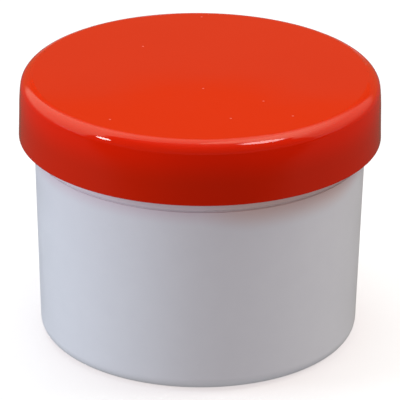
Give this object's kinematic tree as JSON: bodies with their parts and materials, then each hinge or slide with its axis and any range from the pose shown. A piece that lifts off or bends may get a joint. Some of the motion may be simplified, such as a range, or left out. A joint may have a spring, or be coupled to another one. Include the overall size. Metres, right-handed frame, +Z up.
{
  "type": "paint jar",
  "caption": "Short round plastic paint jar with a threaded neck, an overhanging screw lid and a foam sealing liner.",
  "frame": {"origin": "centre of the jar's foot, on the surface it stands on", "axes": "+Z up along the axis of the jar and lid; X and Y are any two directions across it"},
  "size_m": [0.073, 0.073, 0.055],
  "materials": {
    "jar_plastic": "white moulded polypropylene with a soft sheen",
    "lid_plastic": "glossy plain red moulded polypropylene",
    "liner_foam": "off-white closed-cell polyethylene foam"
  },
  "bodies": {
    "jar": {"jar_body": "jar_plastic"},
    "liner": {"lid_liner": "liner_foam"},
    "lid": {"screw_lid": "lid_plastic"}
  },
  "joints": [
    {"name": "lid_lift", "type": "slide", "parent": "jar", "child": "liner", "axis": [0, 0, 1], "range_m": [0, 0.01681]},
    {"name": "lid_turn", "type": "hinge", "parent": "liner", "child": "lid", "pos_m": [0, 0, 0.0485], "axis": [0, 0, 1], "range_deg": [0, 1440]}
  ],
  "couplings": [
    {"joint": "lid_lift", "follows": "lid_turn", "m_per_rad": 0.00066845}
  ]
}
